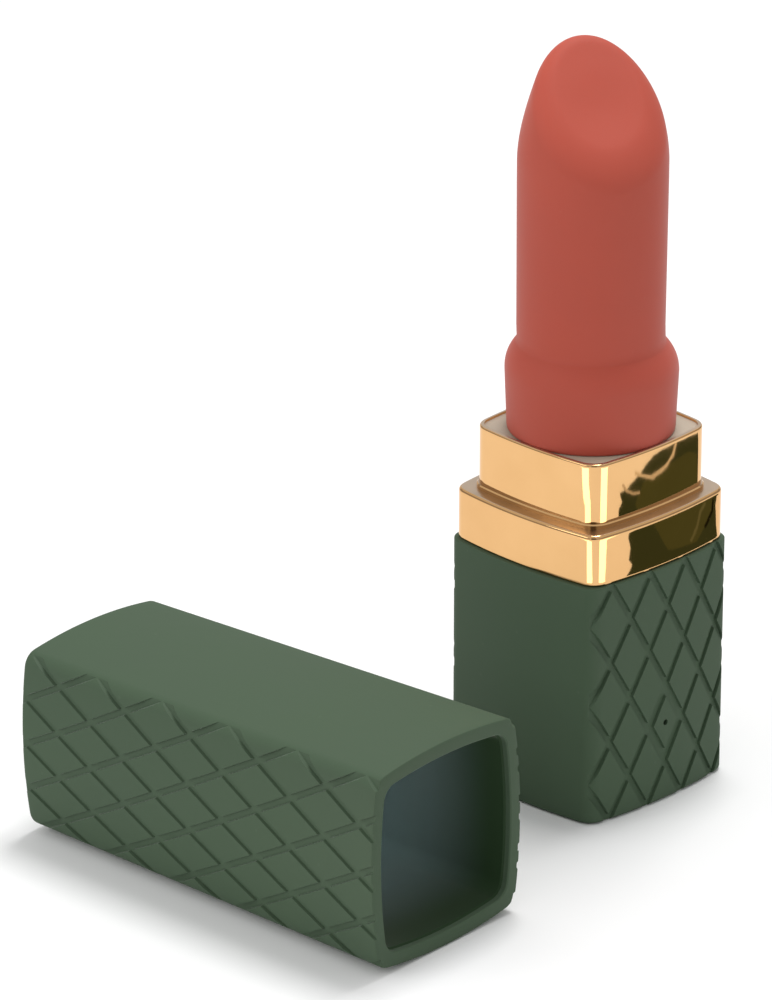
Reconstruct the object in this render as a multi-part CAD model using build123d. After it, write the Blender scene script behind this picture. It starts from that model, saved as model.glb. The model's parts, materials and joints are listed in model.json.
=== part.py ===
"""Lipstick-style case: a square soft-touch base with a two-step plated collar, a soft tip over a
small vibration motor, and a square pull-off cap that lies beside the base.

Frame: millimetres, +Z up. The origin is the centre of the base's underside. The plain faces of the
base look along -Y and +Y, the diamond-grooved faces along +X and -X.
"""

import os
from math import atan2, cos, degrees, radians, sin, sqrt, tan

from build123d import *

# ---- driving dimensions ------------------------------------------------------------------------
SIDE = 27.0             # across the middles of two opposite faces
FACE_RADIUS = 67.5      # every face bulges on this radius
CORNER_RADIUS = 2.25    # vertical outer edges

BASE_HEIGHT = 32.0      # green part of the base
LOWER_COLLAR_HEIGHT = 6.8
UPPER_COLLAR_HEIGHT = 8.4

LOWER_COLLAR_INSET = 0.45
UPPER_COLLAR_INSET = 2.4

CAP_LENGTH = 59.4
CAP_MOUTH_HALF = 13.4   # the cap narrows from its mouth to its closed end
CAP_END_HALF = 12.6
CAP_YAW = 183.0         # direction from the cap's mouth to its closed end, in plan
CAP_MOUTH = (22.5, -48.2)   # centre of the mouth, in plan

GROOVE_WIDTH = 0.9
GROOVE_DEPTH = 0.35
GROOVE_STEP_ACROSS = 3.175  # half a diamond, across the face
CAP_GROOVE_STEP = 5.615     # half a diamond, along the cap
CAP_GROOVE_START = 2.2      # first crossing on the face's middle line, from the mouth

# ---- levels and walls that follow from them ----------------------------------------------------
HALF = SIDE / 2
LEDGE = BASE_HEIGHT + LOWER_COLLAR_HEIGHT       # where the closed cap's mouth rests
COLLAR_TOP = LEDGE + UPPER_COLLAR_HEIGHT
BASE_GROOVE_STEP = BASE_HEIGHT / 6              # half a diamond, up the base

SLEEVE_WALL = 1.2
CHASSIS_HALF = HALF - SLEEVE_WALL
CHASSIS_INNER = CHASSIS_HALF - 1.2
LOWER_COLLAR_HALF = HALF - LOWER_COLLAR_INSET
UPPER_COLLAR_HALF = HALF - UPPER_COLLAR_INSET
NECK_HALF = UPPER_COLLAR_HALF - 0.5
NECK_INNER = NECK_HALF - 1.1

COLLAR_FLANGE = 0.8         # thickness of the ledge ring
FOOT_FLANGE = 0.3           # how far the upper collar's foot stands out
DECK_TOP = LEDGE - COLLAR_FLANGE
DECK_THICKNESS = 1.2
SEAT_TOP = COLLAR_TOP - 0.3
SEAT_THICKNESS = 1.9
NECK_TOP = SEAT_TOP - SEAT_THICKNESS

PLATE_BOTTOM = SLEEVE_WALL
PLATE_TOP = PLATE_BOTTOM + 1.4

CAP_SHELL_WALL = 1.25
CAP_LINER_WALL = 0.8
CAP_LINER_HALF = CAP_MOUTH_HALF - CAP_SHELL_WALL
CAP_INNER_HALF = CAP_LINER_HALF - CAP_LINER_WALL
CAP_NARROWING = (CAP_MOUTH_HALF - CAP_END_HALF) / CAP_LENGTH    # per side, for each mm of length
CAP_LIP = 0.8               # the shell turns in over the liner's end at the mouth
CAP_LIP_HALF = CAP_INNER_HALF + 0.2     # clears the foot of the upper collar
CAP_END_WALL = 0.7
CAP_LINER_END = 0.4

# ---- soft tip ----------------------------------------------------------------------------------
FOOT_RADIUS = 10.55
FOOT_TOP_RADIUS = 10.85
FOOT_SHOULDER = 54.6        # the foot's side ends and its rounded shoulder begins
FOOT_END = 58.4             # the shoulder meets the body
BODY_RADIUS = 9.35
HEAD_START = 81.9           # the body's side begins to lean in
HEAD_LEAN = 0.413           # inward lean of the head's side once it has straightened out
HEAD_BEND = 3.2             # how gradually it gets there
FACET_LOW = 83.65           # height of the slanted face at its lowest point
FACET_ANGLE = 44.0          # slope of the slanted face
FACET_TURN = -27.0          # the slanted face looks this far round from +X, towards -Y
FACET_EDGE = 1.75

# ---- motor core --------------------------------------------------------------------------------
CORE_RADIUS = 6.8
CORE_BORE = 5.9
CORE_TOP = 82.0
CORE_FLANGE = 1.4
CORE_BARB = (50.6, 52.2, 7.6)       # from, to, radius
CORE_DOME_HEIGHT = 3.4

MOTOR_RADIUS = 4.0
MOTOR_BOTTOM = 60.0
MOTOR_TOP = 74.0
MOTOR_CAP = 1.4
SHAFT_RADIUS = 0.5
SHAFT_CLEARANCE = 0.05
SHAFT_BOTTOM = 68.0
SHAFT_TOP = 79.8
BEARING_TOP = 74.8
WEIGHT_RADIUS = 3.7
WEIGHT_BOTTOM = 75.4
WEIGHT_TOP = 79.4

# ---- electronics in the base -------------------------------------------------------------------
BATTERY_RADIUS = 5.0
BATTERY_X = -3.4
BATTERY_BOTTOM = 8.5
BATTERY_TOP = 33.5
BOARD_X = 5.0
BOARD_THICKNESS = 1.0
BOARD_HALF_WIDTH = 8.0
BOARD_BOTTOM = 7.6
BOARD_TOP = 36.2
SOCKET_Z = 2 * BASE_GROOVE_STEP     # middle of a diamond
SOCKET_NOSE_RADIUS = 2.4
SOCKET_BORE = 1.25
SOCKET_BORE_END = 7.0
PINHOLE_RADIUS = 0.4
LEAD_RADIUS = 0.45

# ---- button on the underside -------------------------------------------------------------------
BUTTON_RADIUS = 4.6
BUTTON_HOLE = 4.9
BEZEL_RADIUS = 5.4
BUTTON_FACE = 0.4
BUTTON_FLANGE = (2.65, 3.15, 5.8)   # from, to, radius
PLUNGER_RADIUS = 1.0
PLUNGER_BOTTOM = 3.2
PLUNGER_TOP = 4.3
SWITCH_BOTTOM = 3.9
SWITCH_TOP = 5.9
SWITCH_HALF = 3.0
BUTTON_BOARD_TOP = 6.7
BUTTON_BOARD_HALF = 7.0

BOSS_AT = 8.9
BOSS_RADIUS = 1.8
SCREW_SHANK = 0.6


# ---- shared shapes -----------------------------------------------------------------------------
def bulged_square(half, corner=CORNER_RADIUS):
    """A square face with bulging sides and rounded corners, `half` from its centre to a side."""
    bulge = FACE_RADIUS - (HALF - half)
    back = bulge - half
    centre = (-back + sqrt(2 * (bulge - corner) ** 2 - back**2)) / 2
    turn = degrees(atan2(centre, centre + back))
    edges = []
    for quarter in range(4):
        side = CenterArc((-back, 0), bulge, -turn, 2 * turn)
        round_edge = CenterArc((centre, centre), corner, turn, 90 - 2 * turn)
        edges += [Rot(0, 0, 90 * quarter) * side, Rot(0, 0, 90 * quarter) * round_edge]
    return make_face(edges)


def block(half, low, high, corner=CORNER_RADIUS):
    """The bulged square, from height `low` to height `high`."""
    return extrude(Pos(0, 0, low) * bulged_square(half, corner), high - low)


def narrowing_block(half, low, high, corner=CORNER_RADIUS):
    """The bulged square between two heights, drawing in like the cap does; `half` is its size at
    height 0."""
    ends = [Pos(0, 0, z) * bulged_square(half - CAP_NARROWING * z, corner) for z in (low, high)]
    return loft(ends, ruled=True)


def cylinder(radius, low, high, x=0.0, y=0.0):
    return Pos(x, y, (low + high) / 2) * Cylinder(radius, high - low)


def cylinder_x(radius, low, high, z):
    """A cylinder along X on the socket's line."""
    return Pos((low + high) / 2, 0, z) * Rot(0, 90, 0) * Cylinder(radius, high - low)


def box(x, y, z):
    """A box from three (low, high) pairs."""
    size = [high - low for low, high in (x, y, z)]
    middle = [(low + high) / 2 for low, high in (x, y, z)]
    return Pos(*middle) * Box(*size)


def corners(distance):
    return [(sx * distance, sy * distance) for sx in (-1, 1) for sy in (-1, 1)]


def rim_edges(solid, height):
    """The edges that lie flat at one height."""
    return [e for e in solid.edges() if abs(e.bounding_box().min.Z - height) < 1e-4
            and abs(e.bounding_box().max.Z - height) < 1e-4]


def diamond_grooves(shape, half, length, step_along, first_crossing):
    """Cutters for the crossed grooves on the +X and -X faces, from height 0 to `length`. `shape` is
    the block that the grooves run over: straight or narrowing.

    Each groove is a straight bar across the face, kept to a thin layer under the bulged surface,
    so that its floor follows the face.
    """
    layer = shape(half + 1, -1, length + 1) - shape(half - GROOVE_DEPTH, -2, length + 2)
    reach = half - 1.1
    slope = degrees(atan2(step_along, GROOVE_STEP_ACROSS))
    bar_length = 2.4 * reach / cos(radians(slope))
    rise = reach * tan(radians(slope))
    bars = []
    level = first_crossing
    while level > -rise:
        level -= 2 * step_along
    while level < length + rise:
        for lean in (slope, -slope):
            bar = Box(2 * HALF + 4, bar_length, GROOVE_WIDTH)
            bars.append(Pos(0, 0, level) * Rot(lean, 0, 0) * bar)
        level += 2 * step_along
    window = box((-HALF - 1, HALF + 1), (-reach, reach), (-1, length + 1))
    sides = window - box((-HALF + 2.6, HALF - 2.6), (-HALF, HALF), (-2, length + 2))
    return (Part() + bars) & layer & sides


def lead(points, bend):
    """An insulated lead: straight runs joined by tangent arcs."""
    path = FilletPolyline(*points, radius=bend)
    start = Plane(origin=path @ 0, z_dir=path % 0)
    return sweep(start * Circle(LEAD_RADIUS), path=path)


# ---- base shells -------------------------------------------------------------------------------
def base_sleeve():
    body = block(HALF, 0, BASE_HEIGHT)
    body = fillet(rim_edges(body, 0), 0.5)
    body -= block(CHASSIS_HALF, SLEEVE_WALL, BASE_HEIGHT + 1, 1.6)
    body -= cylinder(BEZEL_RADIUS, -1, SLEEVE_WALL + 1)
    body -= diamond_grooves(block, HALF, BASE_HEIGHT, BASE_GROOVE_STEP, BASE_GROOVE_STEP)
    return body - cylinder_x(PINHOLE_RADIUS, CHASSIS_HALF - 1, HALF + 1, SOCKET_Z)


def chassis():
    body = block(CHASSIS_HALF, PLATE_TOP, DECK_TOP, 1.6)
    body -= block(CHASSIS_INNER, PLATE_TOP - 1, DECK_TOP - DECK_THICKNESS, 1.0)
    body += block(NECK_HALF, DECK_TOP, NECK_TOP, 1.5)
    body -= block(NECK_INNER, DECK_TOP, NECK_TOP + 1, 1.0)
    for x, y in corners(BOSS_AT):
        body += cylinder(BOSS_RADIUS, PLATE_TOP, 12.0, x, y)
        body -= cylinder(SCREW_SHANK, PLATE_TOP - 1, 9.0, x, y)
    for side in (-1, 1):
        for x in (BOARD_X - 0.6, BOARD_X + BOARD_THICKNESS):
            rib_y = sorted((side * (BOARD_HALF_WIDTH - 0.9), side * (CHASSIS_INNER + 0.4)))
            body += box((x, x + 0.6), rib_y, (BOARD_BOTTOM + 6, DECK_TOP - 0.6))
    body -= cylinder(7.4, DECK_TOP - 2, DECK_TOP + 1)
    for x, y in corners(6.7):
        body -= cylinder(0.7, DECK_TOP - 2, DECK_TOP + 1, x, y)
    return body - cylinder_x(SOCKET_NOSE_RADIUS, CHASSIS_INNER - 1, HALF, SOCKET_Z)


def base_plate():
    plate = block(CHASSIS_HALF, PLATE_BOTTOM, PLATE_TOP, 1.6)
    plate += cylinder(BEZEL_RADIUS, 0.2, PLATE_BOTTOM)
    plate -= cylinder(BUTTON_HOLE, -1, PLATE_TOP + 1)
    for x, y in corners(6.0):
        plate += cylinder(0.9, PLATE_TOP, SWITCH_TOP, x, y)
    for x, y in corners(BOSS_AT):
        plate -= cylinder(1.3, 0, PLATE_BOTTOM + 0.8, x, y)
        plate -= cylinder(SCREW_SHANK, 0, PLATE_TOP + 1, x, y)
    return plate


def plate_screws():
    return [cylinder(1.3, PLATE_BOTTOM, PLATE_BOTTOM + 0.8, x, y)
            + cylinder(SCREW_SHANK, PLATE_BOTTOM + 0.8, 8.6, x, y) for x, y in corners(BOSS_AT)]


# ---- plated collars and the seat ---------------------------------------------------------------
def lower_collar():
    body = block(LOWER_COLLAR_HALF, BASE_HEIGHT, LEDGE)
    body = fillet(rim_edges(body, LEDGE), 0.35)
    body -= block(CHASSIS_HALF, BASE_HEIGHT - 1, DECK_TOP, 1.6)
    return body - block(NECK_HALF, DECK_TOP - 1, LEDGE + 1, 1.5)


def upper_collar():
    body = block(UPPER_COLLAR_HALF, LEDGE, COLLAR_TOP, 2.0)
    body = fillet(rim_edges(body, COLLAR_TOP), 0.3)
    body += block(UPPER_COLLAR_HALF + FOOT_FLANGE, LEDGE, LEDGE + 0.6, 2.2)
    return body - block(NECK_HALF, LEDGE - 1, COLLAR_TOP + 1, 1.5)


def tip_seat():
    return block(NECK_HALF, NECK_TOP, SEAT_TOP, 1.5) - cylinder(CORE_RADIUS, 0, 100)


# ---- soft tip and its core ---------------------------------------------------------------------
def core_dome_outer():
    """The rounded end of the core, as a slice of a ball that meets the tube's edge."""
    ball = (CORE_RADIUS**2 + CORE_DOME_HEIGHT**2) / (2 * CORE_DOME_HEIGHT)
    cap = Pos(0, 0, CORE_TOP + CORE_DOME_HEIGHT - ball) * Sphere(ball)
    return cap & cylinder(CORE_RADIUS + 1, CORE_TOP, CORE_TOP + CORE_DOME_HEIGHT + 1)


def core_outer():
    """What the tip's cavity has to clear: the tube, its barb and the dome."""
    low, high, radius = CORE_BARB
    return cylinder(CORE_RADIUS, DECK_TOP, CORE_TOP) + cylinder(radius, low, high) + core_dome_outer()


def head_radius(rise):
    """Radius of the uncut head: a cone whose side starts upright and bends over to its lean."""
    return BODY_RADIUS + HEAD_BEND - sqrt(HEAD_BEND**2 + (HEAD_LEAN * rise) ** 2)


def tip_sleeve():
    head_rises = [0, 2, 4, 7, 11, 16, 20]
    head_side = [(head_radius(rise), HEAD_START + rise) for rise in head_rises]
    top = head_side[-1]
    profile = [
        Line((0, SEAT_TOP), (FOOT_RADIUS, SEAT_TOP)),
        Line((FOOT_RADIUS, SEAT_TOP), (FOOT_TOP_RADIUS, FOOT_SHOULDER)),
        Spline([(FOOT_TOP_RADIUS, FOOT_SHOULDER), (FOOT_TOP_RADIUS - 0.35, FOOT_SHOULDER + 1.9),
                (BODY_RADIUS - 0.1, FOOT_END)], tangents=[(0, 1), (-0.35, 1)]),
        Line((BODY_RADIUS - 0.1, FOOT_END), (BODY_RADIUS, HEAD_START)),
        Spline(head_side, tangents=[(0, 1), (-HEAD_LEAN, 1)]),
        Line(top, (0, top[1])),
        Line((0, top[1]), (0, SEAT_TOP)),
    ]
    section = make_face([Plane.XZ * edge for edge in profile])
    body = revolve(section, Axis.Z)
    facet = Pos(BODY_RADIUS, 0, FACET_LOW) * Rot(0, FACET_ANGLE, 0) * Pos(0, 0, 20) * Box(80, 80, 40)
    body -= Rot(0, 0, FACET_TURN) * facet
    ridge = [e for e in body.edges() if e.bounding_box().max.Z > FACET_LOW + 6]
    body = fillet(ridge, FACET_EDGE)
    return body - core_outer()


def core_tube():
    low, high, radius = CORE_BARB
    body = block(NECK_INNER - 0.1, DECK_TOP, DECK_TOP + CORE_FLANGE, 1.0)
    body += cylinder(CORE_RADIUS, DECK_TOP, CORE_TOP) + cylinder(radius, low, high)
    body -= cylinder(CORE_BORE, DECK_TOP - 1, CORE_TOP + 1)
    for x, y in corners(6.7):
        body -= cylinder(0.9, DECK_TOP - 1, DECK_TOP + CORE_FLANGE + 1, x, y)
    return body


def core_dome():
    return core_dome_outer() + cylinder(CORE_BORE, CORE_TOP - 1.4, CORE_TOP)


def core_screws():
    top = DECK_TOP + CORE_FLANGE
    return [cylinder(1.2, top, top + 1.0, x, y)
            + cylinder(0.7, DECK_TOP - DECK_THICKNESS, top, x, y) for x, y in corners(6.7)]


# ---- vibration motor ---------------------------------------------------------------------------
def motor_boot():
    return cylinder(CORE_BORE, MOTOR_BOTTOM, MOTOR_TOP) - cylinder(MOTOR_RADIUS, 0, 100)


def motor_can():
    body = cylinder(MOTOR_RADIUS, MOTOR_BOTTOM, MOTOR_TOP) + cylinder(1.6, MOTOR_TOP, BEARING_TOP)
    return body - cylinder(SHAFT_RADIUS + SHAFT_CLEARANCE, SHAFT_BOTTOM - 0.2, 100)


def motor_end_cap():
    body = cylinder(MOTOR_RADIUS - 0.1, MOTOR_BOTTOM - MOTOR_CAP, MOTOR_BOTTOM)
    return chamfer(rim_edges(body, MOTOR_BOTTOM - MOTOR_CAP), 0.3)


def motor_shaft():
    return cylinder(SHAFT_RADIUS, SHAFT_BOTTOM, SHAFT_TOP)


def eccentric_weight():
    disc = cylinder(WEIGHT_RADIUS, WEIGHT_BOTTOM, WEIGHT_TOP)
    half = disc & box((-0.3, WEIGHT_RADIUS + 1), (-5, 5), (0, 100))
    return half + cylinder(1.3, WEIGHT_BOTTOM, WEIGHT_TOP) - cylinder(SHAFT_RADIUS, 0, 100)


def motor_lead(side):
    x = 2.6
    y = side * 0.9
    points = [(x, y, MOTOR_BOTTOM - MOTOR_CAP), (x, y, 34.0), (BOARD_X, y, 34.0)]
    return lead(points, 1.6)


# ---- battery and boards ------------------------------------------------------------------------
def battery_cell():
    body = cylinder(BATTERY_RADIUS, BATTERY_BOTTOM, BATTERY_TOP, BATTERY_X)
    return fillet(rim_edges(body, BATTERY_BOTTOM) + rim_edges(body, BATTERY_TOP), 0.5)


def battery_saddles():
    cell = cylinder(BATTERY_RADIUS, 0, 100, BATTERY_X)
    wall_x = -CHASSIS_INNER + 0.3
    return [box((wall_x, BATTERY_X), (-6.2, 6.2), (low, low + 3)) - cell for low in (12.0, 27.0)]


def battery_lead(side):
    y = side * 2.2
    points = [(BATTERY_X + 2.4, y, BATTERY_TOP), (BATTERY_X + 2.4, y, 35.3), (BOARD_X, y, 35.3)]
    return lead(points, 1.4)


def circuit_board():
    return box((BOARD_X, BOARD_X + BOARD_THICKNESS), (-BOARD_HALF_WIDTH, BOARD_HALF_WIDTH),
               (BOARD_BOTTOM, BOARD_TOP))


def control_chip():
    return box((BOARD_X - 0.9, BOARD_X), (-3, 3), (22, 28))


def charge_regulator():
    front = BOARD_X + BOARD_THICKNESS
    return box((front, front + 1.1), (-2, 2), (18, 21))


def board_capacitors():
    front = BOARD_X + BOARD_THICKNESS
    return [box((front, front + 1.6), (y - 1.2, y + 1.2), (25, 28)) for y in (-3.4, 3.4)]


def charge_socket():
    front = BOARD_X + BOARD_THICKNESS
    body = box((front, 9.6), (-3, 3), (BOARD_BOTTOM, SOCKET_Z + 3))
    body += cylinder_x(SOCKET_NOSE_RADIUS, 9.6, CHASSIS_HALF, SOCKET_Z)
    body -= block(HALF, -1, 40) - block(CHASSIS_HALF, -2, 41, 1.6)
    return body - cylinder_x(SOCKET_BORE, SOCKET_BORE_END - 0.4, HALF + 1, SOCKET_Z)


def socket_contact():
    return cylinder_x(SOCKET_BORE, SOCKET_BORE_END - 0.4, SOCKET_BORE_END, SOCKET_Z)


# ---- button, its switch and board --------------------------------------------------------------
def power_button():
    low, high, radius = BUTTON_FLANGE
    head = cylinder(BUTTON_RADIUS, BUTTON_FACE, high)
    head = fillet(rim_edges(head, BUTTON_FACE), 0.3)
    return head + cylinder(radius, low, high)


def switch_plunger():
    return cylinder(PLUNGER_RADIUS, PLUNGER_BOTTOM, PLUNGER_TOP)


def switch_body():
    half = SWITCH_HALF
    body = box((-half, half), (-half, half), (SWITCH_BOTTOM, SWITCH_TOP))
    return body - cylinder(PLUNGER_RADIUS + 0.1, SWITCH_BOTTOM - 1, PLUNGER_TOP + 0.6)


def button_board():
    half = BUTTON_BOARD_HALF
    return box((-half, half), (-half, half), (SWITCH_TOP, BUTTON_BOARD_TOP))


# ---- cap, modelled standing on its mouth and then laid down ------------------------------------
def laid_down(shape):
    """Carries a cap piece from standing on its mouth at the origin to where the cap lies, its lower
    face flat on the surface, so that its axis dips towards the closed end."""
    yaw = radians(CAP_YAW)
    dip = atan2(CAP_NARROWING, 1)
    along = (cos(yaw) * cos(dip), sin(yaw) * cos(dip), -sin(dip))
    across = (-sin(yaw), cos(yaw), 0)
    resting = Plane(origin=(*CAP_MOUTH, CAP_MOUTH_HALF * cos(dip)), x_dir=across, z_dir=along)
    return resting.location * shape


def cap_shell():
    body = narrowing_block(CAP_MOUTH_HALF, 0, CAP_LENGTH)
    body = fillet(rim_edges(body, CAP_LENGTH), 0.8)
    body = fillet(rim_edges(body, 0), 0.25)
    body -= narrowing_block(CAP_LINER_HALF, CAP_LIP, CAP_LENGTH - CAP_END_WALL, 1.5)
    body -= block(CAP_LIP_HALF, -1, CAP_LIP + 1, 1.3)
    grooves = diamond_grooves(narrowing_block, CAP_MOUTH_HALF, CAP_LENGTH,
                              CAP_GROOVE_STEP, CAP_GROOVE_START)
    return laid_down(body - grooves)


def cap_liner():
    end = CAP_LENGTH - CAP_END_WALL
    body = narrowing_block(CAP_LINER_HALF, CAP_LIP, end, 1.5)
    body -= narrowing_block(CAP_INNER_HALF, 0, end - CAP_LINER_END, 1.2)
    grip = CAP_INNER_HALF + 0.3
    for quarter in range(4):
        body += Rot(0, 0, 90 * quarter) * box((grip - 0.5, grip), (-2, 2), (4.0, 5.0))
    return laid_down(body)


# ---- the parts ---------------------------------------------------------------------------------
PARTS = {
    "base_sleeve": base_sleeve,
    "chassis": chassis,
    "base_plate": base_plate,
    "plate_screws": plate_screws,
    "lower_collar": lower_collar,
    "upper_collar": upper_collar,
    "tip_seat": tip_seat,
    "tip_sleeve": tip_sleeve,
    "core_tube": core_tube,
    "core_dome": core_dome,
    "core_screws": core_screws,
    "motor_boot": motor_boot,
    "motor_can": motor_can,
    "motor_end_cap": motor_end_cap,
    "motor_shaft": motor_shaft,
    "eccentric_weight": eccentric_weight,
    "motor_lead_red": lambda: motor_lead(1),
    "motor_lead_black": lambda: motor_lead(-1),
    "battery_cell": battery_cell,
    "battery_saddles": battery_saddles,
    "battery_lead_red": lambda: battery_lead(1),
    "battery_lead_black": lambda: battery_lead(-1),
    "circuit_board": circuit_board,
    "control_chip": control_chip,
    "charge_regulator": charge_regulator,
    "board_capacitors": board_capacitors,
    "charge_socket": charge_socket,
    "socket_contact": socket_contact,
    "button_board": button_board,
    "switch_body": switch_body,
    "switch_plunger": switch_plunger,
    "power_button": power_button,
    "cap_shell": cap_shell,
    "cap_liner": cap_liner,
}

os.makedirs("parts", exist_ok=True)
for name, make in PARTS.items():
    shape = make()
    if isinstance(shape, list):
        shape = Compound(children=shape)
    export_step(shape, f"parts/{name}.step")
    print(name, "volume", round(shape.volume, 1))
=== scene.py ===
import json
import math

import bmesh
import bpy
import numpy as np
from mathutils import Matrix, Vector


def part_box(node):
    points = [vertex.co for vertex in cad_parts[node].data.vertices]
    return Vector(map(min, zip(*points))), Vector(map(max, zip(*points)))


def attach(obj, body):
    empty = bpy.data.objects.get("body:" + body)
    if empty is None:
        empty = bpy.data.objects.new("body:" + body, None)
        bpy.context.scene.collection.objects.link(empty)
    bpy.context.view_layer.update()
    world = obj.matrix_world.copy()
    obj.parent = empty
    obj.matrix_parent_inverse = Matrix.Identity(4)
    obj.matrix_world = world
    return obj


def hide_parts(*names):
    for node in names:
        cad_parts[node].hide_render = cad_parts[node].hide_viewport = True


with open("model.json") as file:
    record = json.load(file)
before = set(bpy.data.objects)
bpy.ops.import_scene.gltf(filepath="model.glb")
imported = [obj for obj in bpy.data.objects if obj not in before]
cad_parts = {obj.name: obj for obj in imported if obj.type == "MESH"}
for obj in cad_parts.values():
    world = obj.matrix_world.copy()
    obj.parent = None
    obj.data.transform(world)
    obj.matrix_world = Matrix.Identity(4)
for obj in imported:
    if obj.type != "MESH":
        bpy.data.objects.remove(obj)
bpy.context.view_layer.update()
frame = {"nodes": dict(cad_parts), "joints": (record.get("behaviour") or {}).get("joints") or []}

# ---- Moulded frame and core ---------------------------------------------------------------------
# A black nylon frame holds the works, and a plate with a raised ring closes it from below. A tube
# with a domed end is screwed to the frame's deck and carries the soft tip. All come as moulded.


def fine_grain():
    """Group: a moulded or sprayed surface's grain, as a normal, from two sizes of noise added up."""
    group = bpy.data.node_groups.new("fine_grain", "ShaderNodeTree")
    sockets = group.interface
    for name, value in (("Grain per mm", 4.0), ("Depth mm", 0.01), ("Unevenness mm", 0.02)):
        sockets.new_socket(name, in_out="INPUT", socket_type="NodeSocketFloat").default_value = value
    sockets.new_socket("Normal", in_out="OUTPUT", socket_type="NodeSocketVector")
    put, join = group.nodes.new, group.links.new
    inlet, outlet = put("NodeGroupInput"), put("NodeGroupOutput")
    where = put("ShaderNodeTexCoord")
    per_metre = put("ShaderNodeMath")
    per_metre.operation = "MULTIPLY"
    per_metre.inputs[1].default_value = 1000.0  # millimetres in a metre
    fine, broad = put("ShaderNodeTexNoise"), put("ShaderNodeTexNoise")
    fine.inputs["Detail"].default_value = 3.0
    broad.inputs["Scale"].default_value = 160.0
    broad.inputs["Detail"].default_value = 2.0
    join(inlet.outputs["Grain per mm"], per_metre.inputs[0])
    join(per_metre.outputs[0], fine.inputs["Scale"])
    deep = []
    for noise, depth in ((fine, "Depth mm"), (broad, "Unevenness mm")):
        join(where.outputs["Object"], noise.inputs["Vector"])
        scaled = put("ShaderNodeMath")
        scaled.operation = "MULTIPLY"
        join(noise.outputs["Fac"], scaled.inputs[0])
        join(inlet.outputs[depth], scaled.inputs[1])
        deep.append(scaled)
    height = put("ShaderNodeMath")
    height.operation = "ADD"
    join(deep[0].outputs[0], height.inputs[0])
    join(deep[1].outputs[0], height.inputs[1])
    bump = put("ShaderNodeBump")
    bump.inputs["Distance"].default_value = 0.001
    join(height.outputs[0], bump.inputs["Height"])
    join(bump.outputs["Normal"], outlet.inputs["Normal"])
    return group


def uneven_tone():
    """Group: a colour that drifts between two tones over the surface, with paler specks of dust."""
    group = bpy.data.node_groups.new("uneven_tone", "ShaderNodeTree")
    sockets = group.interface
    for name in ("Tone", "Other tone", "Dust"):
        sockets.new_socket(name, in_out="INPUT", socket_type="NodeSocketColor")
    for name, value in (("Patches per m", 60.0), ("Dust amount", 0.0)):
        sockets.new_socket(name, in_out="INPUT", socket_type="NodeSocketFloat").default_value = value
    sockets.new_socket("Color", in_out="OUTPUT", socket_type="NodeSocketColor")
    sockets.new_socket("Patch", in_out="OUTPUT", socket_type="NodeSocketFloat")
    put, join = group.nodes.new, group.links.new
    inlet, outlet = put("NodeGroupInput"), put("NodeGroupOutput")
    where = put("ShaderNodeTexCoord")
    cloud = put("ShaderNodeTexNoise")
    cloud.inputs["Detail"].default_value = 4.0
    join(where.outputs["Object"], cloud.inputs["Vector"])
    join(inlet.outputs["Patches per m"], cloud.inputs["Scale"])
    spread = put("ShaderNodeMapRange")
    spread.inputs["From Min"].default_value = 0.3
    spread.inputs["From Max"].default_value = 0.7
    join(cloud.outputs["Fac"], spread.inputs["Value"])
    tones = put("ShaderNodeMix")
    tones.data_type = "RGBA"
    join(spread.outputs["Result"], tones.inputs["Factor"])
    join(inlet.outputs["Tone"], tones.inputs["A"])
    join(inlet.outputs["Other tone"], tones.inputs["B"])
    specks = put("ShaderNodeTexVoronoi")
    specks.inputs["Scale"].default_value = 260.0
    join(where.outputs["Object"], specks.inputs["Vector"])
    speck = put("ShaderNodeMapRange")
    speck.inputs["From Min"].default_value = 0.07
    speck.inputs["From Max"].default_value = 0.03
    join(specks.outputs["Distance"], speck.inputs["Value"])
    amount = put("ShaderNodeMath")
    amount.operation = "MULTIPLY"
    join(speck.outputs["Result"], amount.inputs[0])
    join(inlet.outputs["Dust amount"], amount.inputs[1])
    dusted = put("ShaderNodeMix")
    dusted.data_type = "RGBA"
    join(amount.outputs[0], dusted.inputs["Factor"])
    join(tones.outputs["Result"], dusted.inputs["A"])
    join(inlet.outputs["Dust"], dusted.inputs["B"])
    join(dusted.outputs["Result"], outlet.inputs["Color"])
    join(spread.outputs["Result"], outlet.inputs["Patch"])
    return group


GRAIN = fine_grain()
TONE = uneven_tone()
ROUGHNESS_DRIFT = 0.06      # share by which roughness drifts with the patches, either way


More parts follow.
